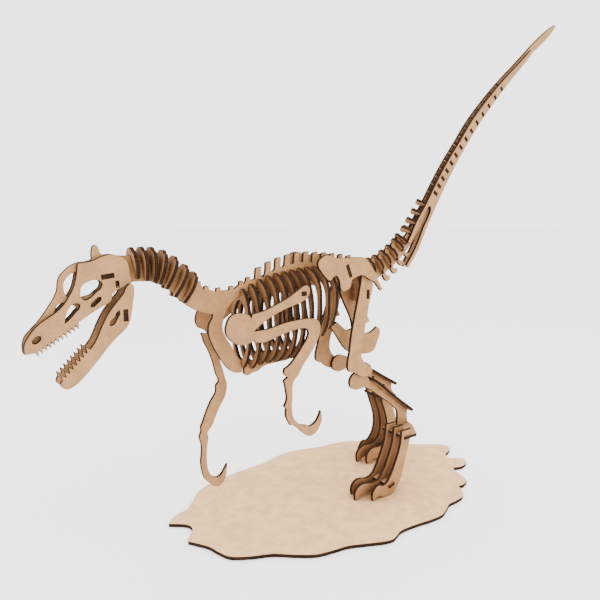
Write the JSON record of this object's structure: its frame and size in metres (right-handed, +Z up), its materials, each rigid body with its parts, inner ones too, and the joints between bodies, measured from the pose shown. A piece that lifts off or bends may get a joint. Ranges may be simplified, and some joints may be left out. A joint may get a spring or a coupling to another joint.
{
  "type": "three-dimensional jigsaw model",
  "caption": "Push-fit wooden dinosaur skeleton puzzle of slotted flat boards, standing on a flat base board.",
  "frame": {"origin": "on the underside of the base board, in the skeleton's middle plane, below the hips", "axes": "-X where the animal faces, -Y its left side, +Z up"},
  "size_m": [0.6292, 0.202, 0.5064],
  "materials": {
    "base_board": "matte",
    "spine_board": "matte",
    "rib_board": "matte",
    "head_board": "matte",
    "arm_board": "matte",
    "leg_board": "matte",
    "tail_board": "matte"
  },
  "bodies": {
    "base": {"base_plate": "base_board"},
    "skeleton": {"spine_plate": "spine_board", "neck_vertebra_1": "spine_board", "neck_vertebra_2": "spine_board", "neck_vertebra_3": "spine_board", "neck_vertebra_4": "spine_board", "neck_vertebra_5": "spine_board", "neck_vertebra_6": "spine_board", "neck_vertebra_7": "spine_board", "tail_vertebra_1": "spine_board", "tail_vertebra_2": "spine_board", "tail_vertebra_3": "spine_board", "tail_vertebra_4": "spine_board", "tail_vertebra_5": "spine_board", "tail_vertebra_6": "spine_board", "rib_01": "rib_board", "rib_02": "rib_board", "rib_03": "rib_board", "rib_04": "rib_board", "rib_05": "rib_board", "rib_06": "rib_board", "rib_07": "rib_board", "rib_08": "rib_board", "rib_09": "rib_board", "rib_10": "rib_board", "rib_11": "rib_board", "shoulder_bar": "rib_board", "hip_plate_front": "spine_board", "hip_plate_rear": "spine_board", "pubis_plate": "spine_board", "thigh_left": "leg_board", "thigh_right": "leg_board", "shin_left": "leg_board", "shin_right": "leg_board", "calf_board_left": "leg_board", "calf_board_right": "leg_board", "ankle_board_left": "leg_board", "ankle_board_right": "leg_board", "toe_bar_left": "leg_board", "toe_bar_right": "leg_board", "toe_left_outer": "leg_board", "toe_left_middle": "leg_board", "toe_left_inner": "leg_board", "toe_right_outer": "leg_board", "toe_right_middle": "leg_board", "toe_right_inner": "leg_board"},
    "head": {"skull_centre": "head_board", "skull_left": "head_board", "skull_right": "head_board", "skull_key": "head_board"},
    "jaw": {"jaw_left": "head_board", "jaw_right": "head_board", "jaw_bar": "head_board"},
    "arm_l": {"arm_left": "arm_board"},
    "arm_r": {"arm_right": "arm_board"},
    "pelvis_l": {"pelvis_left": "leg_board"},
    "pelvis_r": {"pelvis_right": "leg_board"},
    "tail": {"tail_cross_plate": "tail_board", "tail_rod_left": "tail_board", "tail_rod_right": "tail_board"}
  },
  "joints": [
    {"name": "skeleton_lifts_off", "type": "slide", "parent": "base", "child": "skeleton", "axis": [0, 0, 1], "range_m": [0, 0.04]},
    {"name": "head_pulls_off", "type": "slide", "parent": "skeleton", "child": "head", "axis": [-1, 0, 0], "range_m": [0, 0.03]},
    {"name": "jaw_drops_off", "type": "slide", "parent": "head", "child": "jaw", "axis": [0, 0, -1], "range_m": [0, 0.03]},
    {"name": "left_arm_pulls_off", "type": "slide", "parent": "skeleton", "child": "arm_l", "axis": [0, -1, 0], "range_m": [0, 0.025]},
    {"name": "right_arm_pulls_off", "type": "slide", "parent": "skeleton", "child": "arm_r", "axis": [0, 1, 0], "range_m": [0, 0.025]},
    {"name": "left_pelvis_pulls_off", "type": "slide", "parent": "skeleton", "child": "pelvis_l", "axis": [0, -1, 0], "range_m": [0, 0.02]},
    {"name": "right_pelvis_pulls_off", "type": "slide", "parent": "skeleton", "child": "pelvis_r", "axis": [0, 1, 0], "range_m": [0, 0.02]},
    {"name": "tail_pulls_off", "type": "slide", "parent": "skeleton", "child": "tail", "axis": [0.65, 0, 0.76], "range_m": [0, 0.03]}
  ]
}
